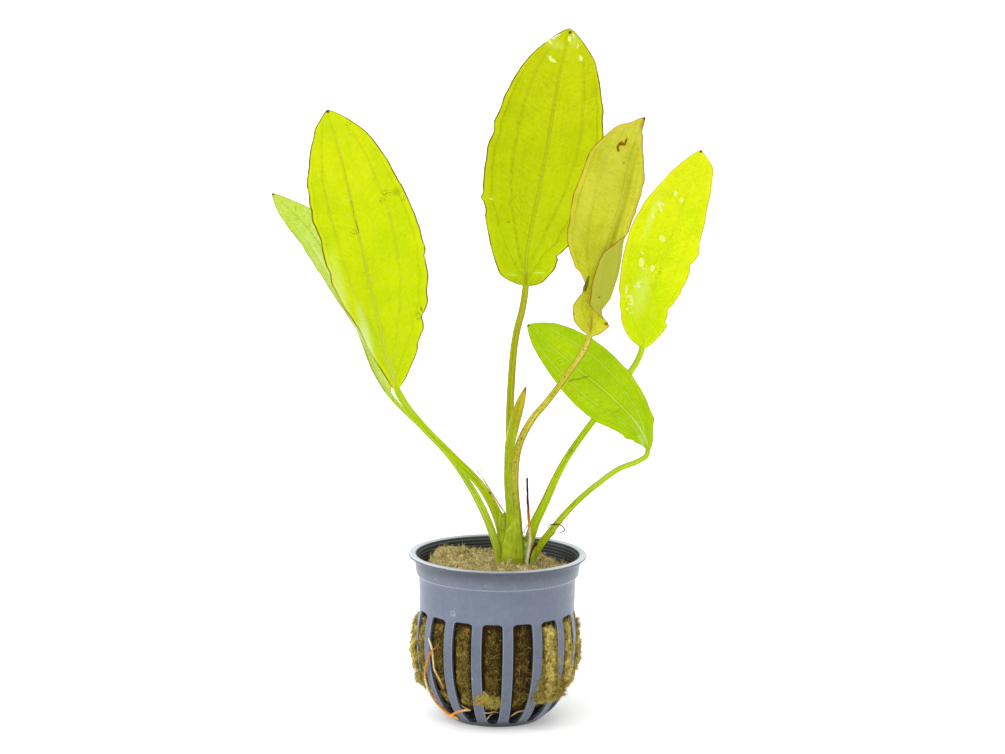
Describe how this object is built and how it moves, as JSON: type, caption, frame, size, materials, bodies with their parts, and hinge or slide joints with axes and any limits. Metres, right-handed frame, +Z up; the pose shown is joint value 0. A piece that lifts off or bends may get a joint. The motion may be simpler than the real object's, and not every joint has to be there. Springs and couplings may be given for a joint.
{
  "type": "potted amazon sword plant",
  "caption": "Young amazon sword plant with long-stalked upright oval leaves, rooted in a rock wool plug inside a slotted plastic net pot; stands on its flat base.",
  "frame": {"origin": "centre of the pot's flat base, on the surface it stands on", "axes": "+Z up along the pot's axis, towards the leaf tips; -Y towards the pictured side; +X to the right of that view"},
  "size_m": [0.137, 0.0769, 0.211],
  "materials": {
    "pot_plastic": "moulded, satin, grey-blue",
    "rock_wool": "damp fibrous wool, olive yellow with brown stains",
    "leaf_green": "thin living leaf, satin, lets light through",
    "leaf_pale": "thin living leaf seen obliquely, paler",
    "leaf_olive": "ageing leaf, olive with brown margins",
    "leaf_bright": "thin living leaf, wet, bright yellow-green",
    "leaf_deep": "thin living leaf, glossier upper face with pale veins",
    "young_green": "young folded leaf, olive green",
    "crown_green": "fibrous crown, yellow-green",
    "dried_stalk": "dry, dark brown at the tip to cream at the foot",
    "root_brown": "orange-brown root",
    "root_cream": "cream root"
  },
  "bodies": {
    "root": {"net_pot": "pot_plastic", "rock_wool": "rock_wool", "crown": "crown_green", "leaf_left": "leaf_green", "leaf_left_rear": "leaf_pale", "leaf_tall": "leaf_green", "leaf_brown_edged": "leaf_olive", "leaf_right": "leaf_bright", "leaf_bent": "leaf_deep", "young_leaf": "young_green", "dead_stalk": "dried_stalk", "root_brown": "root_brown", "root_cream": "root_cream"}
  },
  "joints": []
}
